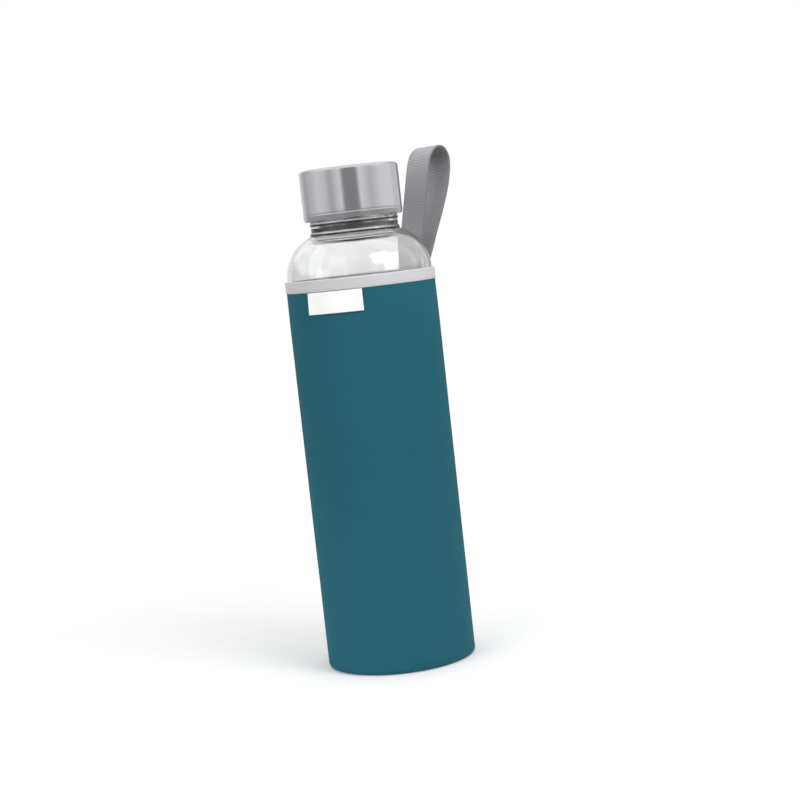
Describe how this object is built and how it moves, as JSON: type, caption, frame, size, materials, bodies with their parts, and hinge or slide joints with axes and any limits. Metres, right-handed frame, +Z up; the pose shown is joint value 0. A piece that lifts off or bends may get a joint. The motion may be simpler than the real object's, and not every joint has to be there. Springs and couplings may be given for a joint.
{
  "type": "water bottle",
  "caption": "Clear glass water bottle with a brushed steel screw cap, a teal neoprene sleeve with a grey bound edge, a blank white label and a grey webbing carry loop.",
  "frame": {"origin": "on the bottle's axis at the underside of the sleeve, where it stands", "axes": "+Z up along the bottle's axis, label facing -Y, carry loop 65 degrees round from +X towards +Y"},
  "size_m": [0.071, 0.0951, 0.2404],
  "materials": {
    "clear_glass": "clear, polished borosilicate glass",
    "brushed_steel": "brushed stainless steel",
    "liner_plastic": "grey moulded polypropylene",
    "silicone": "translucent white silicone",
    "teal_neoprene": "fine matt knit over neoprene",
    "binding_tape": "smooth pale grey binding tape",
    "grey_webbing": "twill woven webbing",
    "label_fabric": "white satin ribbon, blank",
    "teal_thread": "polyester sewing thread",
    "pale_thread": "polyester sewing thread"
  },
  "bodies": {
    "sleeve": {"sleeve_tube": "teal_neoprene", "sleeve_base": "teal_neoprene", "top_binding": "binding_tape", "strap_ends": "grey_webbing", "binding_stitching": "pale_thread", "back_seam_stitching": "teal_thread", "base_stitching": "teal_thread", "strap_stitching": "pale_thread"},
    "glass": {"glass_bottle": "clear_glass"},
    "seal": {"cap_seal": "silicone"},
    "cap": {"cap_shell": "brushed_steel", "cap_liner": "liner_plastic"},
    "strap": {"carry_strap": "grey_webbing"},
    "label_tag": {"label": "label_fabric"}
  },
  "joints": [
    {"name": "glass_slide", "type": "slide", "parent": "sleeve", "child": "glass", "axis": [0, 0, 1], "range_m": [0, 0.19]},
    {"name": "cap_lift", "type": "slide", "parent": "glass", "child": "seal", "axis": [0, 0, 1], "range_m": [0, 0.0211]},
    {"name": "cap_turn", "type": "hinge", "parent": "seal", "child": "cap", "pos_m": [0, 0, 0.2215], "axis": [0, 0, 1], "range_deg": [0, 1890]},
    {"name": "strap_swing", "type": "hinge", "parent": "sleeve", "child": "strap", "pos_m": [0.01559, 0.03344, 0.18], "axis": [-0.9063, 0.4226, 0], "range_deg": [-8, 80], "stiffness_Nm_per_rad": 0.01, "springref_deg": -2.06},
    {"name": "label_flap", "type": "hinge", "parent": "sleeve", "child": "label_tag", "pos_m": [0, -0.03545, 0.1775], "axis": [-1, 0, 0], "range_deg": [0, 110]}
  ],
  "couplings": [
    {"joint": "cap_lift", "follows": "cap_turn", "m_per_rad": 0.00063662}
  ]
}
